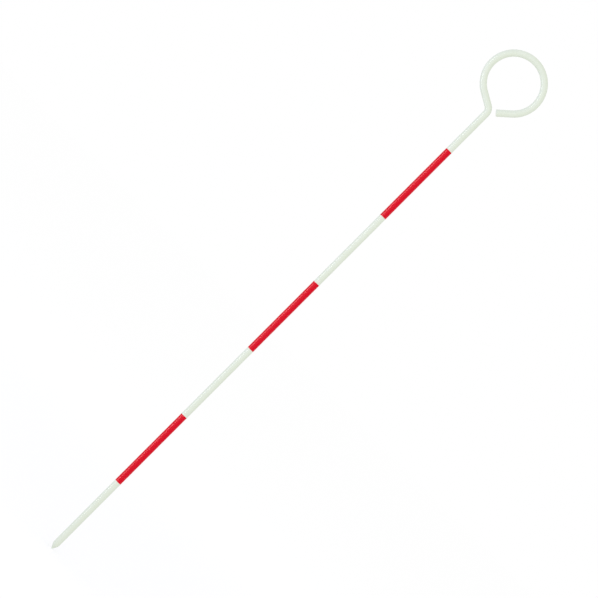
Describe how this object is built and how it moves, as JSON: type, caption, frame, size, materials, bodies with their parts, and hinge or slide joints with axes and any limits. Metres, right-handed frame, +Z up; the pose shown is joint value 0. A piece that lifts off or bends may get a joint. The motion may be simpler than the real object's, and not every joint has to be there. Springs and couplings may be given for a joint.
{
  "type": "survey marker pin",
  "caption": "Slim steel-wire marker pin with a ground point, an open round eye bent at the top and red and white painted bands, pushed into soil to mark a station.",
  "frame": {"origin": "the painted point, which marks the station on the ground", "axes": "+Z up the shank from the point to the eye, +X across the eye towards its cut tail, +Y through the eye"},
  "size_m": [0.0365, 0.0038, 0.3681],
  "materials": {
    "steel": "satin",
    "white_enamel": "gloss",
    "red_enamel": "gloss"
  },
  "bodies": {
    "root": {"eye_white_coat": "white_enamel", "lower_red_band": "red_enamel", "lower_white_band": "white_enamel", "middle_red_band": "red_enamel", "point_white_band": "white_enamel", "steel_wire": "steel", "upper_red_band": "red_enamel", "upper_white_band": "white_enamel"}
  },
  "joints": []
}
